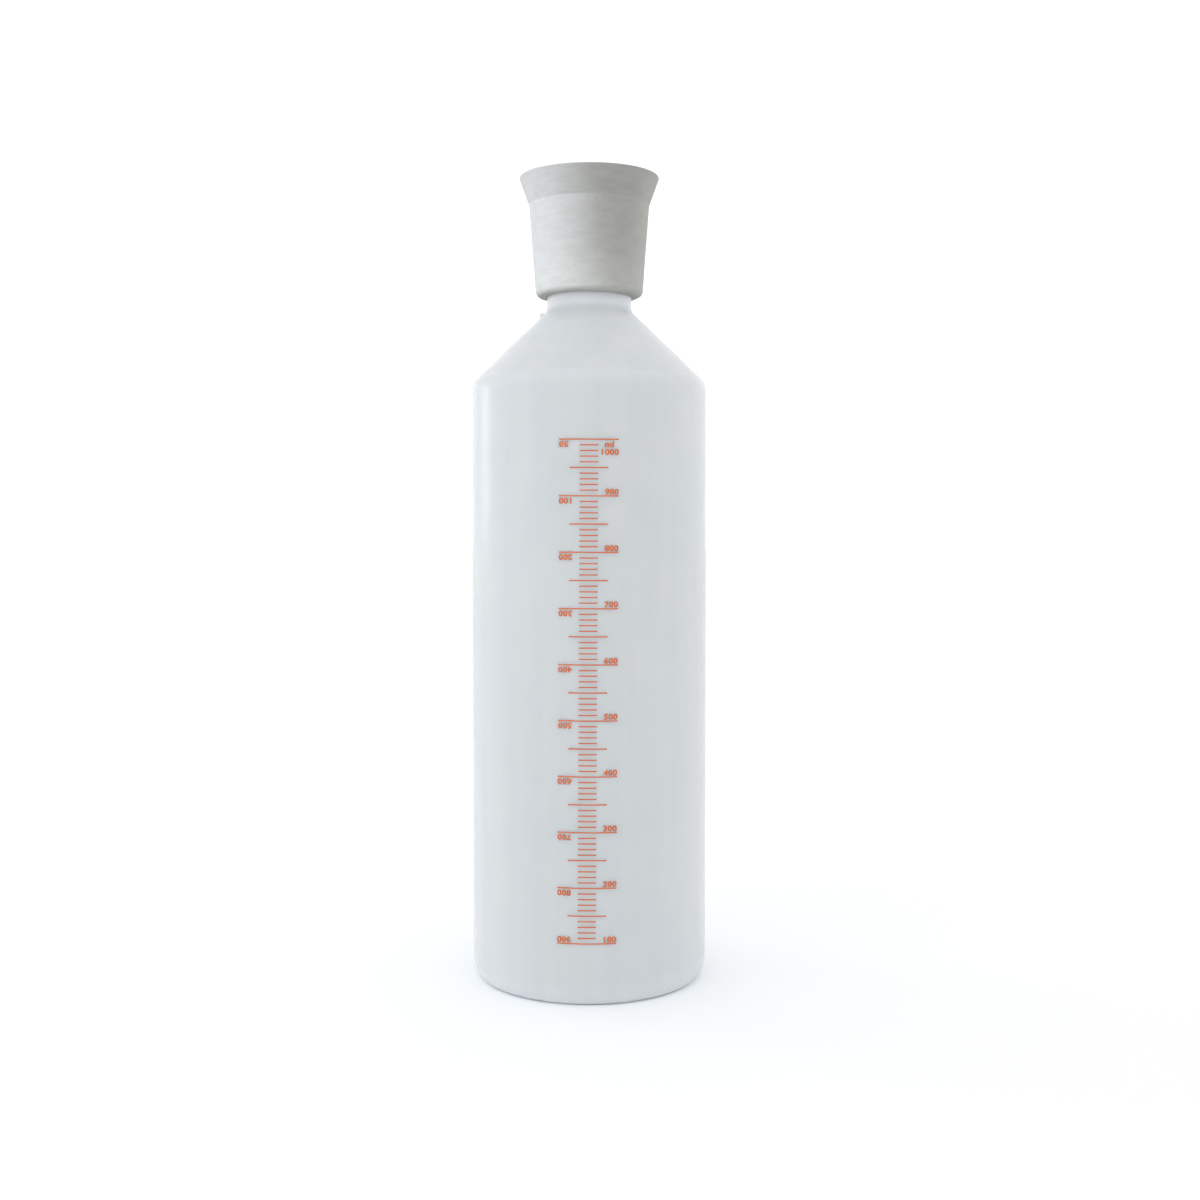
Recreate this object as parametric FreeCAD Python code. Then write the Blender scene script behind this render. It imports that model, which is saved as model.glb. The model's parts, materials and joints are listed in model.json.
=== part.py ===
import FreeCAD, Part
import math
import os

# Graduated one-litre polyethylene bottle with a rubber cone pulled over its neck.
# Millimetres, +Z up, origin at the middle of the base, printed scale towards -Y.

# Bottle body
body_diameter = 84.5
body_wall = 1.2
body_headroom = 21.913       # last line of the scale up to the sharp corner under the shoulder
shoulder_rise = 26.25        # that corner up to the foot of the neck
shoulder_rounding = 7.3

# Bottle base: a rest ring around a shallow push-up
base_wall = 1.5
base_corner_width = 2.35
base_corner_height = 4.1
base_corner_rounding = 10.5  # where the corner meets the body
rest_ring_rounding = 2.8     # where it meets the rest ring
rest_ring_width = 6.9
push_up_depth = 2.2
push_up_slope_width = 5.0
push_up_rounding = 2.0

# Bottle neck: a plain collar with a screw thread above it
neck_diameter = 30.2
neck_wall = 1.6              # behind the root of the thread
neck_rounding = 3.5
collar_length = 10.1
collar_edge_rounding = 0.3
threaded_length = 14.3
rim_rounding = 0.5
mouth_chamfer = 0.4
thread_pitch = 4.0
thread_turns = 2.0
thread_depth = 1.1
thread_root_width = 2.4
thread_crest_width = 1.0
thread_crest_relief = 0.2    # crest lies this far inside the collar
thread_start = 2.4           # middle of the ridge above the collar
thread_bite = 0.4            # ridge sunk into the neck wall

# Stop lug beside the neck
lug_reach = 2.8
lug_width = 5.0
lug_height = 1.9             # of its outer face above the shoulder

# Rubber cone
cone_grip_clearance = 0.05   # radial, around the neck
cone_seat_clearance = 0.1    # under the ledge that stops on the rim of the neck
cone_socket_depth = 19.55
cone_foot_wall = 4.05
cone_taper = 2.4             # widening from foot to crease
cone_crease_height = 32.95   # above the foot
lip_flare = 3.9
lip_rise = 9.8
cone_foot_rounding = 2.2
cone_socket_edge_rounding = 0.8
crease_rounding = 6.0
ledge_thickness = 3.0
ledge_setback = 0.6          # ledge stays this far outside the bore of the neck
ledge_rounding = 0.8
crease_wall = 4.2
lip_wall = 1.6
lip_rounding = 0.6

# Printed scale, with line heights worked out from the contents of the bottle
millilitre = 1000            # cubic millimetres
scale_first = 100            # millilitres
scale_last = 1000
scale_step = 10
major_every = 100
half_every = 50
major_length = 20.2
half_length = 13.1
minor_length = 6.2
line_width = 0.4
ink_thickness = 0.1
ink_gap = 0.1

body_radius = body_diameter / 2
neck_radius = neck_diameter / 2
thread_root_radius = neck_radius - thread_crest_relief - thread_depth
bore_radius = thread_root_radius - neck_wall

z_axis = FreeCAD.Vector(0, 0, 1)
origin = FreeCAD.Vector(0, 0, 0)


def on_section(radius, height):
    return FreeCAD.Vector(radius, 0, height)


def rounded_outline(corners):
    """Closed outline in the XZ plane through corners given as (radius, height, rounding)."""
    joints = []
    for index, (radius, height, rounding) in enumerate(corners):
        here = on_section(radius, height)
        before = on_section(*corners[index - 1][:2])
        after = on_section(*corners[(index + 1) % len(corners)][:2])
        if rounding == 0:
            joints.append((here, None, here))
            continue
        to_before = (before - here).normalize()
        to_after = (after - here).normalize()
        half_angle = to_before.getAngle(to_after) / 2
        tangent = rounding / math.tan(half_angle)
        to_centre = (to_before + to_after).normalize()
        middle = here + to_centre * (rounding / math.sin(half_angle) - rounding)
        joints.append((here + to_before * tangent, middle, here + to_after * tangent))
    edges = []
    for index, (start, middle, end) in enumerate(joints):
        if middle:
            edges.append(Part.Arc(start, middle, end).toShape())
        next_start = joints[(index + 1) % len(joints)][0]
        edges.append(Part.LineSegment(end, next_start).toShape())
    return Part.Wire(edges)


def revolved(corners):
    return Part.Face(rounded_outline(corners)).revolve(origin, z_axis, 360)


def inset(corners, walls):
    """Corners of the inner face of a wall, one thickness for each straight run between corners."""
    runs = []
    for (r0, z0, _), (r1, z1, _), wall in zip(corners, corners[1:], walls):
        length = math.hypot(r1 - r0, z1 - z0)
        along = ((r1 - r0) / length, (z1 - z0) / length)
        runs.append((r0 - along[1] * wall, z0 + along[0] * wall, along, wall))
    inner = []
    for (ra, za, a, wall_a), (rb, zb, b, wall_b), corner in zip(runs, runs[1:], corners[1:]):
        turn = a[0] * b[1] - a[1] * b[0]
        reach = ((rb - ra) * b[1] - (zb - za) * b[0]) / turn
        wall = min(wall_a, wall_b)
        rounding = max(corner[2] - math.copysign(wall, turn), wall / 2)
        inner.append((ra + a[0] * reach, za + a[1] * reach, rounding))
    return inner


def base_corners():
    """Outside of the bottle from the middle of the base to the foot of the body."""
    ring_outer = body_radius - base_corner_width
    ring_inner = ring_outer - rest_ring_width
    return [
        (0, push_up_depth, 0),
        (ring_inner - push_up_slope_width, push_up_depth, push_up_rounding),
        (ring_inner, 0, push_up_rounding),
        (ring_outer, 0, rest_ring_rounding),
        (body_radius, base_corner_height, base_corner_rounding),
    ]


def contents_to(level):
    """Volume inside the bottle up to a level on the straight part of the body."""
    floor = [(0, push_up_depth + base_wall, 0)]
    outside = base_corners() + [(body_radius, level, 0)]
    inside = inset(outside, [base_wall] * 3 + [body_wall] * 2)
    surface = [(body_radius - body_wall, level, 0), (0, level, 0)]
    return revolved(floor + inside + surface).Volume


def height_of(volume):
    """Height up to which the bottle holds this many millilitres."""
    level = base_corner_height + base_corner_rounding
    section_area = math.pi * (body_radius - body_wall) ** 2
    return level + (volume * millilitre - contents_to(level)) / section_area


# The body is as tall as its contents need, and the rest stands on it
body_height = height_of(scale_last) + body_headroom
neck_foot = body_height + shoulder_rise
collar_top = neck_foot + collar_length
neck_top = collar_top + threaded_length
cone_foot = neck_top + cone_seat_clearance - cone_socket_depth


def outer_corners():
    """Outside of the bottle from the middle of the base to the foot of the neck."""
    return base_corners() + [
        (body_radius, body_height, shoulder_rounding),
        (neck_radius, neck_foot, neck_rounding),
        (neck_radius, collar_top, collar_edge_rounding),
    ]


def make_bottle_block():
    """Bottle before it is hollowed, without thread and lug."""
    neck = [
        (thread_root_radius, collar_top, collar_edge_rounding),
        (thread_root_radius, neck_top, rim_rounding),
        (0, neck_top, 0),
    ]
    return revolved(outer_corners() + neck)


def make_cavity():
    """Space inside the bottle, open through the neck."""
    base_runs = [base_wall] * 3
    body_runs = [body_wall] * 3
    neck_run = [neck_radius - bore_radius]
    floor = [(0, push_up_depth + base_wall, 0)]
    inside = inset(outer_corners(), base_runs + body_runs + neck_run)
    mouth = [
        (bore_radius, neck_top - mouth_chamfer, 0),
        (bore_radius + mouth_chamfer, neck_top, 0),
        (0, neck_top, 0),
    ]
    return revolved(floor + inside + mouth)


def make_thread():
    """Helical ridge around the neck, sunk a little into its wall."""
    helix = Part.makeHelix(thread_pitch, thread_pitch * thread_turns, thread_root_radius)
    foot = thread_root_radius - thread_bite
    crest = thread_root_radius + thread_depth
    section = Part.makePolygon([
        on_section(foot, -thread_root_width / 2),
        on_section(crest, -thread_crest_width / 2),
        on_section(crest, thread_crest_width / 2),
        on_section(foot, thread_root_width / 2),
        on_section(foot, -thread_root_width / 2),
    ])
    ridge = Part.Wire(helix).makePipeShell([section], True, True)
    ridge.translate(z_axis * (collar_top + thread_start))
    return ridge


def make_lug():
    """Block on the shoulder beside the neck, at -X."""
    outer_face = neck_radius + lug_reach
    shoulder_slope = shoulder_rise / (body_radius - neck_radius)
    shoulder_there = neck_foot - lug_reach * shoulder_slope
    depth = body_wall / 2
    size = (lug_reach + neck_wall, lug_width, lug_height + depth)
    corner = FreeCAD.Vector(-outer_face, -lug_width / 2, shoulder_there - depth)
    return Part.makeBox(*size, corner)


def make_cone():
    """Rubber sleeve with a socket for the neck below a ledge, and a flared cup above it."""
    socket_radius = neck_radius + cone_grip_clearance
    ledge_under = cone_foot + cone_socket_depth
    ledge_top = ledge_under + ledge_thickness
    ledge_hole = bore_radius + ledge_setback
    foot_radius = socket_radius + cone_foot_wall
    crease_radius = foot_radius + cone_taper
    crease = cone_foot + cone_crease_height
    lip_radius = crease_radius + lip_flare
    lip_top = crease + lip_rise
    return revolved([
        (socket_radius, cone_foot, cone_socket_edge_rounding),
        (foot_radius, cone_foot, cone_foot_rounding),
        (crease_radius, crease, crease_rounding),
        (lip_radius, lip_top, lip_rounding),
        (lip_radius - lip_wall, lip_top, lip_rounding),
        (crease_radius - crease_wall, crease, crease_rounding),
        (ledge_hole, ledge_top, ledge_rounding),
        (ledge_hole, ledge_under, ledge_rounding),
        (socket_radius, ledge_under, 0),
    ])


def make_line(height, length):
    """One printed line, centred on -Y and following the body."""
    inside = body_radius + ink_gap
    outside = inside + ink_thickness
    section = rounded_outline([
        (inside, height - line_width / 2, 0),
        (outside, height - line_width / 2, 0),
        (outside, height + line_width / 2, 0),
        (inside, height + line_width / 2, 0),
    ])
    spread = math.degrees(length / body_radius)
    line = Part.Face(section).revolve(origin, z_axis, spread)
    line.rotate(origin, z_axis, -90 - spread / 2)
    return line


def make_scale():
    """Lines sorted by length, each at the height where the bottle holds that much."""
    lines = {"major": [], "half": [], "minor": []}
    for volume in range(scale_first, scale_last + 1, scale_step):
        height = height_of(volume)
        if volume % major_every == 0:
            lines["major"].append(make_line(height, major_length))
        elif volume % half_every == 0:
            lines["half"].append(make_line(height, half_length))
        else:
            lines["minor"].append(make_line(height, minor_length))
    return lines


os.makedirs("parts", exist_ok=True)

bottle = make_bottle_block().fuse([make_thread(), make_lug()]).cut(make_cavity()).removeSplitter()
bottle.exportStep("parts/bottle.step")

make_cone().exportStep("parts/rubber_cone.step")

for kind, lines in make_scale().items():
    Part.makeCompound(lines).exportStep("parts/scale_" + kind + "_lines.step")
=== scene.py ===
import bpy
import json
import math
from mathutils import Matrix, Vector


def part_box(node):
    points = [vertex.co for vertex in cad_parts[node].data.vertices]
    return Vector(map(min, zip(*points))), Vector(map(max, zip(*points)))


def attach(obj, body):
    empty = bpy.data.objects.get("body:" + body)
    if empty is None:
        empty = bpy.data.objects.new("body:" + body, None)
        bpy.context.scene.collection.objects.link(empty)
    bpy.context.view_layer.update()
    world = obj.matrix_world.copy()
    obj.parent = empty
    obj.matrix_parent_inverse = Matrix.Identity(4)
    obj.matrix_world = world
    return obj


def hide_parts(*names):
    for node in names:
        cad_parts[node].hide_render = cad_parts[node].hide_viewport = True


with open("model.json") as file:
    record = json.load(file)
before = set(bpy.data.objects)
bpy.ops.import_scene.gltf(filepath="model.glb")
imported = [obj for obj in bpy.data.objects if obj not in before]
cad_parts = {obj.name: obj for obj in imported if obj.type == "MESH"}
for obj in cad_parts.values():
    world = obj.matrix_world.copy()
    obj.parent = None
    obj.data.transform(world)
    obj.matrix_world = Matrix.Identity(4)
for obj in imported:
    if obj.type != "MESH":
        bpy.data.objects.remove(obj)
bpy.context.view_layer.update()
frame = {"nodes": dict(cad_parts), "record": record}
scene = bpy.context.scene
mm = 0.001
print("frame:", sorted(frame["nodes"]))


# one node with its settings, and its inputs as values or as what feeds them
def addNode(tree, kind, inputs=None, **settings):
    node = tree.nodes.new(kind)
    for name, value in settings.items():
        setattr(node, name, value)
    for key, value in (inputs or {}).items():
        usable = [s for s in node.inputs if s.enabled]
        socket = usable[key] if isinstance(key, int) else next(s for s in usable if s.name == key)
        for source in value if isinstance(value, list) else [value]:
            if isinstance(source, bpy.types.Node):
                source = next(s for s in source.outputs if s.enabled)
            if isinstance(source, bpy.types.NodeSocket):
                tree.links.new(source, socket)
            else:
                socket.default_value = source
    return node


def linear(hexColour):
    parts = [int(hexColour[i:i + 2], 16) / 255 for i in (1, 3, 5)]
    return tuple(c / 12.92 if c <= 0.04045 else ((c + 0.055) / 1.055) ** 2.4 for c in parts) + (1,)


# Materials

def newMaterial(name):
    material = bpy.data.materials.new(name)
    material.use_nodes = True
    material.node_tree.nodes.clear()
    return material, material.node_tree


# Natural polyethylene, blow-moulded: milky, so light soaks in and spreads but no outline shows through,
# under a satin skin with a faint orange peel and tall drawn streaks where the wall varies;
# greyer from the shoulder top up through the thick-walled neck: painted shade under the rubber sleeve's
# foot.
def makePolyethylene():
    skin = dict(pale="#e0eaf2", cool="#d9e4ee", thick="#d5d9dc", thickFrom=234, thickTo=244,
                streakWidth=9, streakLength=150, cloudWidth=30, peelWidth=1.1, peelDepth=0.05,
                smoothest=0.19, roughest=0.26, soaksIn=6)
    material, tree = newMaterial("natural_polyethylene")
    place = addNode(tree, "ShaderNodeTexCoord").outputs["Object"]
    drawn = addNode(tree, "ShaderNodeMapping", {
        "Vector": place, "Scale": (1, 1, skin["streakWidth"] / skin["streakLength"])})
    streaks = addNode(tree, "ShaderNodeTexNoise", {
        "Vector": drawn, "Scale": 1 / (skin["streakWidth"] * mm), "Detail": 2.0, "Roughness": 0.5})
    clouds = addNode(tree, "ShaderNodeTexNoise", {
        "Vector": place, "Scale": 1 / (skin["cloudWidth"] * mm), "Detail": 2.0, "Roughness": 0.5})
    both = addNode(tree, "ShaderNodeMath", {0: streaks, 1: clouds}, operation="ADD")
    spread = addNode(tree, "ShaderNodeMapRange", {"Value": both, "From Min": 0.75, "From Max": 1.25})
    milky = addNode(tree, "ShaderNodeMix", {
        "Factor": spread, "A": linear(skin["pale"]), "B": linear(skin["cool"])}, data_type="RGBA")
    height = addNode(tree, "ShaderNodeSeparateXYZ", {"Vector": place}).outputs["Z"]
    # painted shade: from the shoulder top upwards the colour turns greyer, for the shade under the rubber
    # sleeve's foot
    neckShadeMask = addNode(tree, "ShaderNodeMapRange", {
        "Value": height, "From Min": skin["thickFrom"] * mm, "From Max": skin["thickTo"] * mm})
    colour = addNode(tree, "ShaderNodeMix", {
        "Factor": neckShadeMask, "A": milky, "B": linear(skin["thick"])}, data_type="RGBA")
    peel = addNode(tree, "ShaderNodeTexNoise", {
        "Vector": place, "Scale": 1 / (skin["peelWidth"] * mm), "Detail": 1.0})
    gloss = addNode(tree, "ShaderNodeMapRange", {
        "Value": clouds, "To Min": skin["smoothest"], "To Max": skin["roughest"]})
    bump = addNode(tree, "ShaderNodeBump", {
        "Height": peel, "Strength": 0.05, "Distance": skin["peelDepth"] * mm})
    surface = addNode(tree, "ShaderNodeBsdfPrincipled", {
        "Base Color": colour, "Roughness": gloss, "Normal": bump, "IOR": 1.51, "Specular IOR Level": 0.15,
        "Subsurface Weight": 1.0, "Subsurface Radius": (1.0, 1.0, 1.0),
        "Subsurface Scale": skin["soaksIn"] * mm})
    addNode(tree, "ShaderNodeOutputMaterial", {"Surface": surface})
    return material


# Vulcanised rubber, moulded grey-white: matt, with a bloom of talc, darker where it was rubbed round,
# and small pits, whose inside shade is painted as dark spots.
def makeRubber():
    skin = dict(bloom="#92938f", body="#8a8b87", pit="#727371", patchWidth=7, patchFlatness=3,
                grainWidth=0.9, grainDepth=0.1, pitWidth=4.5)
    material, tree = newMaterial("talced_rubber")
    place = addNode(tree, "ShaderNodeTexCoord").outputs["Object"]
    rubbed = addNode(tree, "ShaderNodeMapping", {"Vector": place, "Scale": (1, 1, skin["patchFlatness"])})
    patches = addNode(tree, "ShaderNodeTexNoise", {
        "Vector": rubbed, "Scale": 1 / (skin["patchWidth"] * mm), "Detail": 4.0, "Roughness": 0.65})
    cover = addNode(tree, "ShaderNodeMapRange", {"Value": patches, "From Min": 0.35, "From Max": 0.65})
    bloomed = addNode(tree, "ShaderNodeMix", {
        "Factor": cover, "A": linear(skin["body"]), "B": linear(skin["bloom"])}, data_type="RGBA")
    # painted shade: dark spots where small pits would be, standing in for the shade inside them
    pits = addNode(tree, "ShaderNodeTexVoronoi", {"Vector": place, "Scale": 1 / (skin["pitWidth"] * mm)})
    pitShadeAmount = addNode(tree, "ShaderNodeMapRange", {
        "Value": pits, "From Min": 0.05, "From Max": 0.14, "To Min": 0.35, "To Max": 0.0})
    colour = addNode(tree, "ShaderNodeMix", {
        "Factor": pitShadeAmount, "A": bloomed, "B": linear(skin["pit"])}, data_type="RGBA")
    grain = addNode(tree, "ShaderNodeTexNoise", {
        "Vector": place, "Scale": 1 / (skin["grainWidth"] * mm), "Detail": 3.0, "Roughness": 0.6})
    matt = addNode(tree, "ShaderNodeMapRange", {"Value": patches, "To Min": 0.62, "To Max": 0.85})
    bump = addNode(tree, "ShaderNodeBump", {
        "Height": grain, "Strength": 0.15, "Distance": skin["grainDepth"] * mm})
    surface = addNode(tree, "ShaderNodeBsdfPrincipled", {
        "Base Color": colour, "Roughness": matt, "Normal": bump, "IOR": 1.52, "Specular IOR Level": 0.4})
    addNode(tree, "ShaderNodeOutputMaterial", {"Surface": surface})
    return material


# Screen ink on plastic: an orange-red film, satin, a little thin in places where the mesh gave less.
def makeInk():
    skin = dict(full="#cf5c1e", thin="#c8682f", patchWidth=1.6)
    material, tree = newMaterial("screen_ink")
    place = addNode(tree, "ShaderNodeTexCoord").outputs["Object"]
    patches = addNode(tree, "ShaderNodeTexNoise", {
        "Vector": place, "Scale": 1 / (skin["patchWidth"] * mm), "Detail": 2.0})
    colour = addNode(tree, "ShaderNodeMix", {
        "Factor": patches, "A": linear(skin["full"]), "B": linear(skin["thin"])}, data_type="RGBA")
    satin = addNode(tree, "ShaderNodeMapRange", {"Value": patches, "To Min": 0.4, "To Max": 0.6})
    surface = addNode(tree, "ShaderNodeBsdfPrincipled", {
        "Base Color": colour, "Roughness": satin, "IOR": 1.5})
    addNode(tree, "ShaderNodeOutputMaterial", {"Surface": surface})
    return material


# White card, matt with a faint tooth.
def makeCard():
    skin = dict(white="#fcfcfc", shade="#f9f9f9", toothWidth=2)
    material, tree = newMaterial("white_card")
    place = addNode(tree, "ShaderNodeTexCoord").outputs["Object"]
    tooth = addNode(tree, "ShaderNodeTexNoise", {
        "Vector": place, "Scale": 1 / (skin["toothWidth"] * mm), "Detail": 2.0})
    colour = addNode(tree, "ShaderNodeMix", {
        "Factor": tooth, "A": linear(skin["white"]), "B": linear(skin["shade"])}, data_type="RGBA")
    surface = addNode(tree, "ShaderNodeBsdfPrincipled", {
        "Base Color": colour, "Roughness": 0.9, "Specular IOR Level": 0.1})
    addNode(tree, "ShaderNodeOutputMaterial", {"Surface": surface})
    return material


polyethylene, rubber, ink, card = makePolyethylene(), makeRubber(), makeInk(), makeCard()
print("materials:", [m.name for m in (polyethylene, rubber, ink, card)])


# Geometry Nodes

def newTree(name, sockets):
    tree = bpy.data.node_groups.new(name, "GeometryNodeTree")
    tree.is_modifier = True
    tree.interface.new_socket("Geometry", in_out="INPUT", socket_type="NodeSocketGeometry")
    for label, kind in sockets:
        tree.interface.new_socket(label, in_out="INPUT", socket_type="NodeSocket" + kind)
    tree.interface.new_socket("Geometry", in_out="OUTPUT", socket_type="NodeSocketGeometry")
    return tree, addNode(tree, "NodeGroupInput").outputs


# runs a tree on a mesh and keeps the result as a plain mesh in an object at the origin
def grow(name, mesh, tree, **values):
    obj = bpy.data.objects.new(name, mesh)
    scene.collection.objects.link(obj)
    modifier = obj.modifiers.new(name, "NODES")
    modifier.node_group = tree
    for item in tree.interface.items_tree:
        words = item.name.split()
        key = words[0].lower() + "".join(words[1:])
        if item.in_out == "INPUT" and key in values:
            modifier[item.identifier] = values[key]
    bpy.context.view_layer.update()
    grown = bpy.data.meshes.new_from_object(obj.evaluated_get(bpy.context.evaluated_depsgraph_get()))
    obj.modifiers.remove(modifier)
    obj.data = grown
    bpy.data.meshes.remove(mesh)
    grown.name = name
    return obj


# Outlines are lists of corners: radius, height, rounding, and then the shares of seam, ripple and sag there
outlineShares = ("seam", "ripple", "sag")


# a chain of edges through the corners, with points beside each rounding and along the long runs
def outlineMesh(corners, spacing):
    beside = 0.3
    reach = [0] * len(corners)
    for at in range(1, len(corners) - 1):
        before, middle, after = (Vector(corners[at + step][:2]) for step in (-1, 0, 1))
        turn = (middle - before).angle(after - middle)
        reach[at] = corners[at][2] * math.tan(turn / 2)
    points = []
    for at, (corner, after) in enumerate(zip(corners, corners[1:])):
        points.append(corner)
        here, there = Vector(corner[:2]), Vector(after[:2])
        run = (there - here).length
        straight = run - reach[at] - reach[at + 1]
        if straight < 3 * beside:
            continue
        steps = max(1, math.ceil(straight / spacing))
        for step in range(steps + 1):
            t = (reach[at] + beside + (straight - 2 * beside) * step / steps) / run
            shares = [a + (b - a) * t for a, b in zip(corner[3:], after[3:])]
            points.append((*here.lerp(there, t), 0, *shares))
    points.append(corners[-1])
    mesh = bpy.data.meshes.new("outline")
    edges = [(i, i + 1) for i in range(len(points) - 1)]
    mesh.from_pydata([(p[0] * mm, 0, p[1] * mm) for p in points], edges, [])
    for column, label in enumerate(("rounding",) + outlineShares, 2):
        scale = mm if label == "rounding" else 1
        values = [p[column] * scale for p in points]
        mesh.attributes.new(label, "FLOAT", "POINT").data.foreach_set("value", values)
    return mesh


# a lathe: the outline is filleted, turned about Z with its columns crowded at the mould's parting line,
# and then raised along that line, rippled as a cooled moulding is, and let sag
def makeLathe():
    tree, given = newTree("lathe", [
        ("Segments", "Int"), ("Corner Steps", "Int"), ("Crowding", "Float"),
        ("Seam Height", "Float"), ("Seam Width", "Float"),
        ("Ripple Depth", "Float"), ("Ripple Size", "Float"),
        ("Sag Depth", "Float"), ("Sag Size", "Float"),
        ("Seed", "Float"), ("Material", "Material")])
    chain = addNode(tree, "GeometryNodeMeshToCurve", {"Mesh": given["Geometry"]})
    rounding = addNode(tree, "GeometryNodeInputNamedAttribute", {"Name": "rounding"}, data_type="FLOAT")
    curve = addNode(tree, "GeometryNodeFilletCurve", {
        "Curve": chain, "Count": given["Corner Steps"], "Radius": rounding, "Limit Radius": True},
        mode="POLY")
    rows = addNode(tree, "GeometryNodeAttributeDomainSize", {"Geometry": curve}, component="CURVE")
    columns = addNode(tree, "ShaderNodeMath", {0: given["Segments"], 1: 1}, operation="ADD")
    grid = addNode(tree, "GeometryNodeMeshGrid", {"Vertices X": columns, "Vertices Y": rows})

    # each column of the grid is one copy of the outline, turned by its angle
    index = addNode(tree, "GeometryNodeInputIndex")
    row = addNode(tree, "ShaderNodeMath", {0: index, 1: rows}, operation="MODULO")
    ratio = addNode(tree, "ShaderNodeMath", {0: index, 1: rows}, operation="DIVIDE")
    column = addNode(tree, "ShaderNodeMath", {0: ratio}, operation="FLOOR")
    share = addNode(tree, "ShaderNodeMath", {0: column, 1: given["Segments"]}, operation="DIVIDE")
    even = addNode(tree, "ShaderNodeMath", {0: share, 1: math.tau}, operation="MULTIPLY")
    double = addNode(tree, "ShaderNodeMath", {0: even, 1: 2}, operation="MULTIPLY")
    wave = addNode(tree, "ShaderNodeMath", {0: double}, operation="SINE")
    half = addNode(tree, "ShaderNodeMath", {0: given["Crowding"], 1: 0.5}, operation="MULTIPLY")
    pull = addNode(tree, "ShaderNodeMath", {0: wave, 1: half}, operation="MULTIPLY")
    angle = addNode(tree, "ShaderNodeMath", {0: even, 1: pull}, operation="SUBTRACT")
    place = addNode(tree, "GeometryNodeInputPosition")
    outline = addNode(tree, "GeometryNodeSampleIndex", {
        "Geometry": curve, "Value": place, "Index": row}, data_type="FLOAT_VECTOR", domain="POINT")
    turned = addNode(tree, "ShaderNodeVectorRotate", {
        "Vector": outline, "Angle": angle}, rotation_type="Z_AXIS")
    body = addNode(tree, "GeometryNodeSetPosition", {"Geometry": grid, "Position": turned})
    for label in outlineShares:
        attribute = addNode(tree, "GeometryNodeInputNamedAttribute", {"Name": label}, data_type="FLOAT")
        sampled = addNode(tree, "GeometryNodeSampleIndex", {
            "Geometry": curve, "Value": attribute, "Index": row}, data_type="FLOAT", domain="POINT")
        body = addNode(tree, "GeometryNodeStoreNamedAttribute", {
            "Geometry": body, "Name": label, "Value": sampled}, data_type="FLOAT", domain="POINT")
    closed = addNode(tree, "GeometryNodeMergeByDistance", {"Geometry": body, "Distance": 0.001 * mm})
    stored = {label: addNode(tree, "GeometryNodeInputNamedAttribute", {"Name": label}, data_type="FLOAT")
              for label in outlineShares}

    # a ridge where the mould halves met, in the XZ plane
    spread = addNode(tree, "ShaderNodeSeparateXYZ", {"Vector": place})
    across = addNode(tree, "ShaderNodeMath", {
        0: spread.outputs["Y"], 1: given["Seam Width"]}, operation="DIVIDE")
    square = addNode(tree, "ShaderNodeMath", {0: across, 1: across}, operation="MULTIPLY")
    minus = addNode(tree, "ShaderNodeMath", {0: square, 1: -1}, operation="MULTIPLY")
    ridge = addNode(tree, "ShaderNodeMath", {0: minus}, operation="EXPONENT")
    seamHere = addNode(tree, "ShaderNodeMath", {0: ridge, 1: stored["seam"]}, operation="MULTIPLY")
    raised = addNode(tree, "ShaderNodeMath", {0: seamHere, 1: given["Seam Height"]}, operation="MULTIPLY")

    uneven = {}
    for label in ("ripple", "sag"):
        size, depth = (label.capitalize() + ending for ending in (" Size", " Depth"))
        perSize = addNode(tree, "ShaderNodeMath", {0: 1, 1: given[size]}, operation="DIVIDE")
        noise = addNode(tree, "ShaderNodeTexNoise", {
            "Vector": place, "W": given["Seed"], "Scale": perSize, "Detail": 1.0, "Roughness": 0.4},
            noise_dimensions="4D")
        centred = addNode(tree, "ShaderNodeMath", {0: noise, 1: 0.5}, operation="SUBTRACT")
        scaled = addNode(tree, "ShaderNodeMath", {0: centred, 1: given[depth]}, operation="MULTIPLY")
        uneven[label] = addNode(tree, "ShaderNodeMath", {0: scaled, 1: stored[label]}, operation="MULTIPLY")

    outwards = addNode(tree, "ShaderNodeMath", {0: raised, 1: uneven["ripple"]}, operation="ADD")
    normal = addNode(tree, "GeometryNodeInputNormal")
    push = addNode(tree, "ShaderNodeVectorMath", {0: normal, "Scale": outwards}, operation="SCALE")
    drop = addNode(tree, "ShaderNodeCombineXYZ", {"Z": uneven["sag"]})
    shift = addNode(tree, "ShaderNodeVectorMath", {0: push, 1: drop}, operation="ADD")
    shaped = addNode(tree, "GeometryNodeSetPosition", {"Geometry": closed, "Offset": shift})
    for label in outlineShares:
        shaped = addNode(tree, "GeometryNodeRemoveAttribute", {"Geometry": shaped, "Name": label})
    smooth = addNode(tree, "GeometryNodeSetShadeSmooth", {"Geometry": shaped, "Shade Smooth": True})
    real = addNode(tree, "GeometryNodeRealizeInstances", {"Geometry": smooth})
    clad = addNode(tree, "GeometryNodeSetMaterial", {"Geometry": real, "Material": given["Material"]})
    addNode(tree, "NodeGroupOutput", {"Geometry": clad})
    return tree


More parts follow.
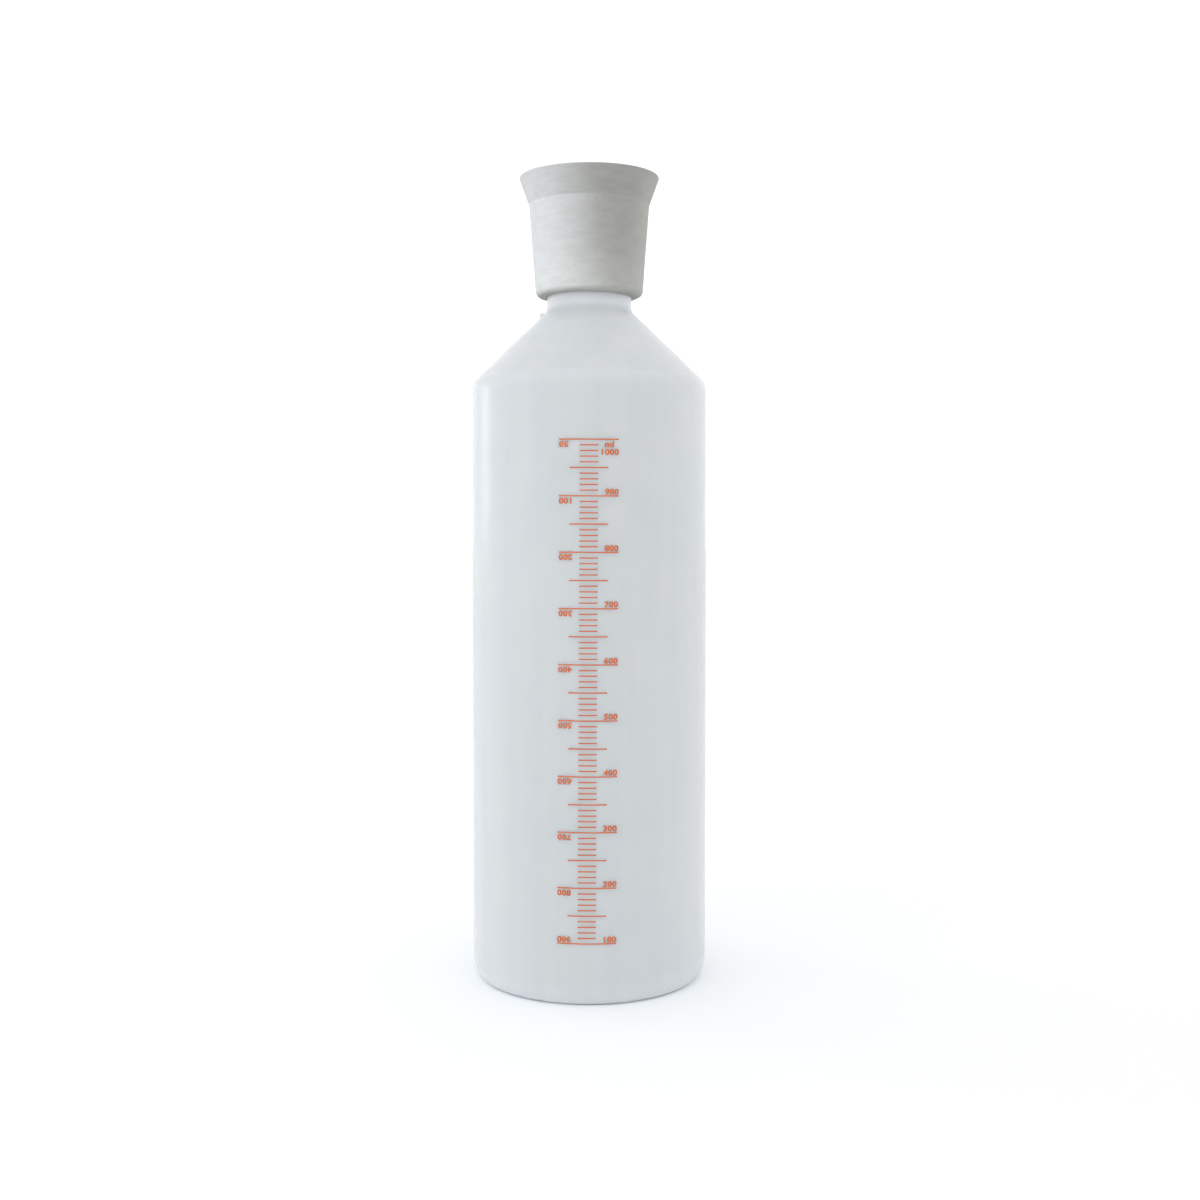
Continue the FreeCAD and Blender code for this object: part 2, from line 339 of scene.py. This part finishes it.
# the screw thread, faded out at both ends, and the stop lug, both grown into the moulding
def makeNeckFinish():
    finish = dict(helixSteps=96, ridgeRounding=0.25, fadesFrom=0.42, endSize=0.1,
                  lugLevels=4, lugCrease=0.72, sharpAngle=40)
    tree, given = newTree("neck finish", [
        ("Thread Radius", "Float"), ("Thread Start", "Float"),
        ("Thread Pitch", "Float"), ("Thread Turns", "Float"),
        ("Thread Depth", "Float"), ("Root Width", "Float"), ("Crest Width", "Float"),
        ("Lug Size", "Vector"), ("Lug Place", "Vector"), ("Material", "Material")])
    rise = addNode(tree, "ShaderNodeMath", {
        0: given["Thread Pitch"], 1: given["Thread Turns"]}, operation="MULTIPLY")
    helix = addNode(tree, "GeometryNodeCurveSpiral", {
        "Resolution": finish["helixSteps"], "Rotations": given["Thread Turns"], "Height": rise,
        "Start Radius": given["Thread Radius"], "End Radius": given["Thread Radius"], "Reverse": False})
    upright = addNode(tree, "GeometryNodeSetCurveNormal", {"Curve": helix}, mode="Z_UP")
    ridge = addNode(tree, "GeometryNodeCurvePrimitiveQuadrilateral", {
        "Height": given["Thread Depth"], "Bottom Width": given["Root Width"],
        "Top Width": given["Crest Width"], "Offset": 0.0}, mode="TRAPEZOID")
    rounded = addNode(tree, "GeometryNodeFilletCurve", {
        "Curve": ridge, "Count": 3, "Radius": finish["ridgeRounding"] * mm, "Limit Radius": True},
        mode="POLY")
    outward = addNode(tree, "GeometryNodeTransform", {
        "Geometry": rounded, "Rotation": (0, 0, -math.pi / 2)})
    along = addNode(tree, "GeometryNodeSplineParameter")
    toEnd = addNode(tree, "ShaderNodeMath", {0: along, 1: 0.5}, operation="SUBTRACT")
    fromMiddle = addNode(tree, "ShaderNodeMath", {0: toEnd}, operation="ABSOLUTE")
    fade = addNode(tree, "ShaderNodeMapRange", {
        "Value": fromMiddle, "From Min": finish["fadesFrom"], "From Max": 0.5,
        "To Min": 1.0, "To Max": finish["endSize"]}, interpolation_type="SMOOTHSTEP")
    wound = addNode(tree, "GeometryNodeCurveToMesh", {
        "Curve": upright, "Profile Curve": outward, "Scale": fade, "Fill Caps": True})
    lift = addNode(tree, "ShaderNodeCombineXYZ", {"Z": given["Thread Start"]})
    thread = addNode(tree, "GeometryNodeTransform", {"Geometry": wound, "Translation": lift})
    block = addNode(tree, "GeometryNodeMeshCube", {"Size": given["Lug Size"]})
    soft = addNode(tree, "GeometryNodeSubdivisionSurface", {
        "Mesh": block, "Level": finish["lugLevels"], "Edge Crease": finish["lugCrease"]})
    lug = addNode(tree, "GeometryNodeTransform", {"Geometry": soft, "Translation": given["Lug Place"]})
    whole = addNode(tree, "GeometryNodeMeshBoolean", {
        0: [given["Geometry"], thread, lug]}, operation="UNION", solver="MANIFOLD")
    bend = addNode(tree, "GeometryNodeInputMeshEdgeAngle")
    sharp = addNode(tree, "FunctionNodeCompare", {
        0: bend, 1: math.radians(finish["sharpAngle"])}, operation="GREATER_THAN", data_type="FLOAT")
    smooth = addNode(tree, "GeometryNodeSetShadeSmooth", {
        "Geometry": whole, "Shade Smooth": True}, domain="FACE")
    creased = addNode(tree, "GeometryNodeSetShadeSmooth", {
        "Geometry": smooth, "Selection": sharp, "Shade Smooth": False}, domain="EDGE")
    real = addNode(tree, "GeometryNodeRealizeInstances", {"Geometry": creased})
    clad = addNode(tree, "GeometryNodeSetMaterial", {"Geometry": real, "Material": given["Material"]})
    addNode(tree, "NodeGroupOutput", {"Geometry": clad})
    return tree


# rows of graduation lines, joined to flat print in XY, bent round the wall until they lie on it,
# and given a thickness
def makePrint():
    tree, given = newTree("print", [
        ("Wall", "Object"), ("Wall Radius", "Float"), ("First Height", "Float"), ("Line Step", "Float"),
        ("Line Count", "Int"), ("Lines Per Major", "Int"), ("Lines Per Half", "Int"),
        ("Major Length", "Float"), ("Half Length", "Float"), ("Minor Length", "Float"),
        ("Line Width", "Float"), ("Ink Thickness", "Float"), ("Lean", "Float"), ("Lean Height", "Float"),
        ("Material", "Material")])
    start = addNode(tree, "ShaderNodeCombineXYZ", {"Y": given["First Height"]})
    step = addNode(tree, "ShaderNodeCombineXYZ", {"Y": given["Line Step"]})
    ladder = addNode(tree, "GeometryNodeMeshLine", {
        "Count": given["Line Count"], "Start Location": start, "Offset": step})
    index = addNode(tree, "GeometryNodeInputIndex")
    length = given["Minor Length"]
    for every, longer in (("Lines Per Half", "Half Length"), ("Lines Per Major", "Major Length")):
        rest = addNode(tree, "ShaderNodeMath", {0: index, 1: given[every]}, operation="MODULO")
        onIt = addNode(tree, "FunctionNodeCompare", {
            0: rest, 1: 0.5}, operation="LESS_THAN", data_type="FLOAT")
        length = addNode(tree, "GeometryNodeSwitch", {
            "Switch": onIt, "False": length, "True": given[longer]}, input_type="FLOAT")
    size = addNode(tree, "ShaderNodeCombineXYZ", {"X": length, "Y": given["Line Width"], "Z": 1.0})
    stroke = addNode(tree, "GeometryNodeMeshGrid", {
        "Size X": 1.0, "Size Y": 1.0, "Vertices X": 9, "Vertices Y": 2})  # columns enough to follow the wall
    lines = addNode(tree, "GeometryNodeInstanceOnPoints", {
        "Points": ladder, "Instance": stroke, "Scale": size})
    drawn = addNode(tree, "GeometryNodeRealizeInstances", {"Geometry": lines})
    flat = addNode(tree, "GeometryNodeJoinGeometry", {"Geometry": [drawn, given["Geometry"]]})

    place = addNode(tree, "GeometryNodeInputPosition")
    pivot = addNode(tree, "ShaderNodeCombineXYZ", {"Y": given["Lean Height"]})
    leaned = addNode(tree, "ShaderNodeVectorRotate", {
        "Vector": place, "Center": pivot, "Angle": given["Lean"]}, rotation_type="Z_AXIS")
    spread = addNode(tree, "ShaderNodeSeparateXYZ", {"Vector": leaned})
    angle = addNode(tree, "ShaderNodeMath", {
        0: spread.outputs["X"], 1: given["Wall Radius"]}, operation="DIVIDE")
    front = addNode(tree, "ShaderNodeMath", {0: given["Wall Radius"], 1: -1}, operation="MULTIPLY")
    axis = addNode(tree, "ShaderNodeCombineXYZ", {"Y": front, "Z": spread.outputs["Y"]})
    bent = addNode(tree, "ShaderNodeVectorRotate", {"Vector": axis, "Angle": angle}, rotation_type="Z_AXIS")
    wall = addNode(tree, "GeometryNodeObjectInfo", {"Object": given["Wall"]}, transform_space="RELATIVE")
    nearest = addNode(tree, "GeometryNodeProximity", {
        "Geometry": wall.outputs["Geometry"], "Sample Position": bent}, target_element="FACES")
    laid = addNode(tree, "GeometryNodeSetPosition", {"Geometry": flat, "Position": nearest})
    film = addNode(tree, "GeometryNodeExtrudeMesh", {
        "Mesh": laid, "Offset Scale": given["Ink Thickness"], "Individual": False}, mode="FACES")
    back = addNode(tree, "GeometryNodeFlipFaces", {"Mesh": laid})
    both = addNode(tree, "GeometryNodeJoinGeometry", {"Geometry": [film, back]})
    closed = addNode(tree, "GeometryNodeMergeByDistance", {"Geometry": both, "Distance": 0.0005 * mm})
    real = addNode(tree, "GeometryNodeRealizeInstances", {"Geometry": closed})
    clad = addNode(tree, "GeometryNodeSetMaterial", {"Geometry": real, "Material": given["Material"]})
    addNode(tree, "NodeGroupOutput", {"Geometry": clad})
    return tree


latheTree, neckFinishTree, printTree = makeLathe(), makeNeckFinish(), makePrint()
print("trees:", [t.name for t in (latheTree, neckFinishTree, printTree)])


# Bottle, in millimetres; what the frame gives is read from it
neckBore = next(m for m in frame["record"]["mounts"] if m["name"] == "neck_bore")
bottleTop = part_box("bottle")[1] / mm
bottle = dict(
    bodyRadius=bottleTop.x, neckTop=bottleTop.z, boreRadius=neckBore["dims"]["r_mm"],
    bodyHeight=213.7, bodyWall=1.2, shoulderRounding=7.3,
    pushUp=2.2, pushUpRounding=2.0, panelRadius=28.0, ringInner=33.0, ringOuter=39.9, ringRounding=2.8,
    baseCorner=4.1, cornerRounding=10.5, baseWall=1.5,
    neckRadius=15.1, neckFoot=239.95, neckRounding=3.5, collarTop=250.05, collarRounding=0.3,
    threadRoot=13.8, rimRounding=0.5, mouthChamfer=0.4, mouthRounding=0.15,
    threadStart=2.4, threadPitch=4.0, threadTurns=2.0, threadDepth=1.1, threadBite=0.4,
    rootWidth=2.4, crestWidth=1.0, lugReach=2.8, lugWidth=5.0, lugHeight=1.9,
    seamHeight=0.12, seamWidth=0.3, seamCrowding=0.8, rippleDepth=0.25, rippleSize=45.0, seed=3.0,
    segments=256, cornerSteps=8, spacing=12.0)


# inner face of a wall: the outside's runs moved inwards by one thickness each
def insideOf(corners, walls):
    runs = []
    for before, after, wall in zip(corners, corners[1:], walls):
        along = (Vector(after[:2]) - Vector(before[:2])).normalized()
        runs.append((Vector((before[0] - along.y * wall, before[1] + along.x * wall)), along, wall))
    inner = []
    for (startA, a, wallA), (startB, b, wallB), corner in zip(runs, runs[1:], corners[1:]):
        turn = a.cross(b)
        meet = startA + a * ((startB - startA).cross(b) / turn)
        wall = min(wallA, wallB)
        inner.append((*meet, max(corner[2] - math.copysign(wall, turn), wall / 2), 0, 0, 0))
    return inner


def bottleOutline(b):
    wall, seamed, plain = (1, 1, 0), (1, 0, 0), (0, 0, 0)
    outside = [
        (0, b["pushUp"], 0, *seamed),
        (b["panelRadius"], b["pushUp"], b["pushUpRounding"], *seamed),
        (b["ringInner"], 0, b["pushUpRounding"], *plain),
        (b["ringOuter"], 0, b["ringRounding"], *plain),
        (b["bodyRadius"], b["baseCorner"], b["cornerRounding"], *seamed),
        (b["bodyRadius"], b["bodyHeight"], b["shoulderRounding"], *wall),
        (b["neckRadius"], b["neckFoot"], b["neckRounding"], *seamed),
        (b["neckRadius"], b["collarTop"], b["collarRounding"], *seamed)]
    neckWall = b["neckRadius"] - b["boreRadius"]
    inside = insideOf(outside, [b["baseWall"]] * 3 + [b["bodyWall"]] * 3 + [neckWall])
    finish = [
        (b["threadRoot"], b["collarTop"], b["collarRounding"], *plain),
        (b["threadRoot"], b["neckTop"], b["rimRounding"], *plain),
        (b["boreRadius"] + b["mouthChamfer"], b["neckTop"], b["mouthRounding"], *plain),
        (b["boreRadius"], b["neckTop"] - b["mouthChamfer"], b["mouthRounding"], *plain)]
    floor = [(0, b["pushUp"] + b["baseWall"], 0, *plain)]
    return outside + finish + inside[::-1] + floor


def makeBottle(b):
    turned = grow(
        "turned", outlineMesh(bottleOutline(b), b["spacing"]), latheTree,
        segments=b["segments"], cornerSteps=b["cornerSteps"], crowding=b["seamCrowding"], seed=b["seed"],
        seamHeight=b["seamHeight"] * mm, seamWidth=b["seamWidth"] * mm, material=polyethylene,
        rippleDepth=b["rippleDepth"] * mm, rippleSize=b["rippleSize"] * mm, sagDepth=0.0, sagSize=1.0)
    slope = (b["neckFoot"] - b["bodyHeight"]) / (b["bodyRadius"] - b["neckRadius"])
    lugFoot = b["neckFoot"] - b["lugReach"] * slope - b["bodyWall"] / 2
    lugTop = b["neckFoot"] - b["lugReach"] * slope + b["lugHeight"]
    lugDeep = (b["neckRadius"] - b["boreRadius"]) / 2
    lugSize = Vector((b["lugReach"] + lugDeep, b["lugWidth"], lugTop - lugFoot))
    lugPlace = Vector((-b["neckRadius"] - b["lugReach"] + lugSize.x / 2, 0, (lugFoot + lugTop) / 2))
    ridge = b["threadDepth"] + b["threadBite"]
    piece = grow(
        "moulded_bottle", turned.data.copy(), neckFinishTree,
        threadRadius=(b["threadRoot"] + b["threadDepth"] - ridge / 2) * mm,
        threadStart=(b["collarTop"] + b["threadStart"]) * mm,
        threadPitch=b["threadPitch"] * mm, threadTurns=b["threadTurns"], threadDepth=ridge * mm,
        rootWidth=b["rootWidth"] * mm, crestWidth=b["crestWidth"] * mm,
        lugSize=lugSize * mm, lugPlace=lugPlace * mm, material=polyethylene)
    bpy.data.objects.remove(turned)
    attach(piece, "bottle")
    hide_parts("bottle")
    return piece


bottlePiece = makeBottle(bottle)
print("bottle:", len(bottlePiece.data.polygons), "faces")


# Rubber cone, in millimetres
coneLow, coneHigh = (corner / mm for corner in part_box("rubber_cone"))
cone = dict(
    foot=coneLow.z, lipTop=coneHigh.z, lipRadius=coneHigh.x,
    socketRadius=15.15, socketRounding=0.8, footRadius=19.2, footRounding=2.2,
    creaseRadius=21.6, crease=277.85, creaseRounding=1.2, creaseWall=4.2,
    lipWall=1.6, lipRounding=0.3, lipInnerRounding=0.4,
    ledgeHole=12.8, ledgeUnder=264.45, ledgeTop=267.45, ledgeRounding=0.8, ledgeCorner=0.3,
    sagReach=7.0, sagReachOut=0.5, sagReachInside=8.0, sagDepth=0.8, sagSize=11.0,
    rippleDepth=0.16, rippleSize=9.0, seed=7.0, segments=192, cornerSteps=8, spacing=2.0)


def coneOutline(c):
    hidden, skin, foot = (0, 0, 0), (0, 1, 0), (0, 1, 1)
    start = (c["socketRadius"], c["foot"] + c["sagReachInside"], 0, *hidden)
    return [
        start,
        (c["socketRadius"], c["foot"], c["socketRounding"], 0, 0, 1),
        (c["footRadius"], c["foot"], c["footRounding"], *foot),
        (c["footRadius"] + c["sagReachOut"], c["foot"] + c["sagReach"], 0, *skin),
        (c["creaseRadius"], c["crease"], c["creaseRounding"], *skin),
        (c["lipRadius"], c["lipTop"], c["lipRounding"], *hidden),
        (c["lipRadius"] - c["lipWall"], c["lipTop"], c["lipInnerRounding"], *hidden),
        (c["creaseRadius"] - c["creaseWall"], c["crease"], c["creaseRounding"], *skin),
        (c["ledgeHole"], c["ledgeTop"], c["ledgeRounding"], *hidden),
        (c["ledgeHole"], c["ledgeUnder"], c["ledgeRounding"], *hidden),
        (c["socketRadius"], c["ledgeUnder"], c["ledgeCorner"], *hidden),
        start]


def makeCone(c):
    piece = grow(
        "rubber_sleeve", outlineMesh(coneOutline(c), c["spacing"]), latheTree,
        segments=c["segments"], cornerSteps=c["cornerSteps"], crowding=0.0, seed=c["seed"],
        seamHeight=0.0, seamWidth=1.0, material=rubber,
        rippleDepth=c["rippleDepth"] * mm, rippleSize=c["rippleSize"] * mm,
        sagDepth=c["sagDepth"] * mm, sagSize=c["sagSize"] * mm)
    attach(piece, "cone")
    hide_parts("rubber_cone")
    return piece


conePiece = makeCone(cone)
print("cone:", len(conePiece.data.polygons), "faces")


# Printed scale, in millimetres: lines every 10 ml, numbers up the right side and, for the bottle held
# upside down, turned numbers down the left side
scaleLow, scaleHigh = (corner.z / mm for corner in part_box("scale_major_lines"))
scale = dict(
    lineWidth=0.4, majorLength=20.2, halfLength=13.1, minorLength=6.2,
    lineCount=91, linesPerMajor=10, linesPerHalf=5, majorVolume=100, thickness=0.05,
    capHeight=2.0, digitWidth=1.56, oneWidth=0.75, weight=0.031,
    gapAbove=0.22, gapBelow=0.45, unitGap=2.55, unitInset=1.7, lean=-0.3, leanHeight=147)
scale["first"] = scaleLow + scale["lineWidth"] / 2
scale["last"] = scaleHigh - scale["lineWidth"] / 2


# one flat word in XY: its anchor corner is at the point given, turned half round for upside-down reading
def word(text, x, y, turned, capHeight, digitWidth, oneWidth, weight):
    curve = bpy.data.curves.new("word", "FONT")
    curve.body = text
    curve.offset = weight
    curve.space_character = 1.06  # a little air between digits
    curve.resolution_u = 4
    holder = bpy.data.objects.new("word", curve)
    scene.collection.objects.link(holder)
    bpy.context.view_layer.update()
    mesh = bpy.data.meshes.new_from_object(holder.evaluated_get(bpy.context.evaluated_depsgraph_get()))
    bpy.data.objects.remove(holder)
    bpy.data.curves.remove(curve)
    xs, ys = [v.co.x for v in mesh.vertices], [v.co.y for v in mesh.vertices]
    wide = digitWidth * sum(oneWidth if letter == "1" else 1 for letter in text)
    fit = Matrix.Diagonal((wide / (max(xs) - min(xs)), capHeight / (max(ys) - min(ys)), 1, 1))
    mesh.transform(fit @ Matrix.Translation((-max(xs), -min(ys), 0)))
    mesh.transform(Matrix.Translation((x, y, 0)) @ Matrix.Rotation(math.pi * turned, 4, "Z"))
    mesh.transform(Matrix.Scale(mm, 4))
    return mesh


def makeScale(s):
    major = s["majorLength"] / 2
    intervals = (s["lineCount"] - 1) // s["linesPerMajor"]
    pitch = (s["last"] - s["first"]) / intervals
    style = {key: s[key] for key in ("capHeight", "digitWidth", "oneWidth", "weight")}
    over = s["lineWidth"] / 2 + s["gapAbove"]
    under = s["lineWidth"] / 2 + s["gapBelow"]
    words = [
        word("ml", major - s["unitInset"], s["last"] - under - s["capHeight"], False, **style),
        word("1000", major, s["last"] - under - s["unitGap"] - s["capHeight"], False, **style),
        word("50", -major, s["last"] - under, True, **style),
        word("900", -major, s["first"] + over + s["capHeight"], True, **style)]
    for number in range(1, intervals + 1):
        height = s["first"] + (number - 1) * pitch + over
        words.append(word(str(number * s["majorVolume"]), major, height, False, **style))
    for number in range(1, intervals):
        height = s["last"] - number * pitch - under
        words.append(word(str(number * s["majorVolume"]), -major, height, True, **style))
    flat = bpy.data.meshes.new("words")
    corners, faces = [], []
    for mesh in words:
        faces += [[len(corners) + v for v in p.vertices] for p in mesh.polygons]
        corners += [v.co.copy() for v in mesh.vertices]
        bpy.data.meshes.remove(mesh)
    flat.from_pydata(corners, [], faces)
    piece = grow(
        "printed_scale", flat, printTree, wall=bottlePiece, wallRadius=bottle["bodyRadius"] * mm,
        firstHeight=s["first"] * mm, lineStep=pitch / s["linesPerMajor"] * mm, lineCount=s["lineCount"],
        linesPerMajor=s["linesPerMajor"], linesPerHalf=s["linesPerHalf"], majorLength=s["majorLength"] * mm,
        halfLength=s["halfLength"] * mm, minorLength=s["minorLength"] * mm, lineWidth=s["lineWidth"] * mm,
        inkThickness=s["thickness"] * mm, lean=math.radians(s["lean"]), leanHeight=s["leanHeight"] * mm,
        material=ink)
    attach(piece, "bottle")
    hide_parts("scale_major_lines", "scale_half_lines", "scale_minor_lines")
    return piece


scalePiece = makeScale(scale)
print("scale:", len(scalePiece.data.polygons), "faces")


# Camera in millimetres and degrees, floor and light
camera = dict(side=3.88, distance=524.0, height=166.7, pitch=1.971, lens=43.247, shiftUp=-0.03)
cameraData = bpy.data.cameras.new("camera")
cameraData.sensor_width = 36
cameraData.lens = camera["lens"]
cameraData.shift_y = camera["shiftUp"]
cameraObject = bpy.data.objects.new("camera", cameraData)
cameraObject.location = Vector((camera["side"], -camera["distance"], camera["height"])) * mm
cameraObject.rotation_euler = (math.radians(90 - camera["pitch"]), 0, 0)
scene.collection.objects.link(cameraObject)
scene.camera = cameraObject

floorHalf = 6.0  # metres
floorCorners = [(x * floorHalf, y * floorHalf, 0) for x, y in ((-1, -1), (1, -1), (1, 1), (-1, 1))]
floorMesh = bpy.data.meshes.new("floor")
floorMesh.from_pydata(floorCorners, [], [(0, 1, 2, 3)])
floorMesh.materials.append(card)
floor = bpy.data.objects.new("floor", floorMesh)
scene.collection.objects.link(floor)

# soft boxes: bearing round from the camera to its left, in degrees, then distance, middle height,
# aimed-at height, and width and height in metres; those with pieces named fall on nothing else
softBoxes = dict(
    key=dict(bearing=70, distance=0.6, height=0.57, aim=0.265, size=(0.3, 0.3), spread=180, power=8.6,
             colour="#eef0ff", on=[conePiece]),
    fill=dict(bearing=-20, distance=0.6, height=0.85, aim=0.265, size=(0.4, 0.4), spread=180, power=1.2,
              colour="#ffffff", on=[conePiece]),
    rim=dict(bearing=-125, distance=0.6, height=0.3, aim=0.265, size=(0.2, 0.2), spread=180, power=0.9,
             colour="#ffffff", on=[conePiece]),
    foot=dict(bearing=0, distance=0.3, height=0.15, aim=0.243, size=(0.2, 0.03), spread=8, power=0.009,
              colour="#ffffff", on=[conePiece]),
    front=dict(bearing=20, distance=0.8, height=0.06, aim=0.12, size=(0.5, 0.5), spread=180, power=0.4,
               colour="#ffffff", on=[bottlePiece, scalePiece]),
    left=dict(bearing=50, distance=1.0, height=0.15, aim=0.1, size=(0.5, 0.5), spread=180, power=0.8,
              colour="#f6f8ff", on=[]),
    backLeft=dict(bearing=116, distance=0.6, height=0.235, aim=0.2, size=(0.16, 0.16), spread=180,
                  power=0.26, colour="#eef2ff", on=[]))
for name, box in softBoxes.items():
    lamp = bpy.data.lights.new(name, "AREA")
    lamp.shape = "RECTANGLE"
    lamp.size, lamp.size_y = box["size"]
    lamp.energy = box["power"]
    lamp.spread = math.radians(box["spread"])
    lamp.color = linear(box["colour"])[:3]
    bearing = math.radians(box["bearing"])
    obj = bpy.data.objects.new(name, lamp)
    towards = Vector((-math.sin(bearing), -math.cos(bearing), 0))
    obj.location = towards * box["distance"] + Vector((0, 0, box["height"]))
    aim = Vector((0, 0, box["aim"])) - obj.location
    obj.rotation_euler = aim.to_track_quat("-Z", "Y").to_euler()
    scene.collection.objects.link(obj)
    if box["on"]:
        lit = bpy.data.collections.new(name)
        for piece in box["on"]:
            lit.objects.link(piece)
        obj.light_linking.receiver_collection = lit

room = dict(level=1.22, overhead=0.94, dimsFrom=0.1)  # brightness to the sides and above
world = bpy.data.worlds.new("white room")
world.use_nodes = True
world.node_tree.nodes.clear()
upwards = addNode(world.node_tree, "ShaderNodeTexCoord").outputs["Object"]
rise = addNode(world.node_tree, "ShaderNodeSeparateXYZ", {"Vector": upwards}).outputs["Z"]
dimmer = addNode(world.node_tree, "ShaderNodeMapRange", {
    "Value": rise, "From Min": room["dimsFrom"], "From Max": 1.0,
    "To Min": room["level"], "To Max": room["overhead"]})
glow = addNode(world.node_tree, "ShaderNodeBackground", {"Color": (1, 1, 1, 1), "Strength": dimmer})
addNode(world.node_tree, "ShaderNodeOutputWorld", {"Surface": glow})
scene.world = world
scene.view_settings.view_transform = "Standard"
print("light:", list(softBoxes))
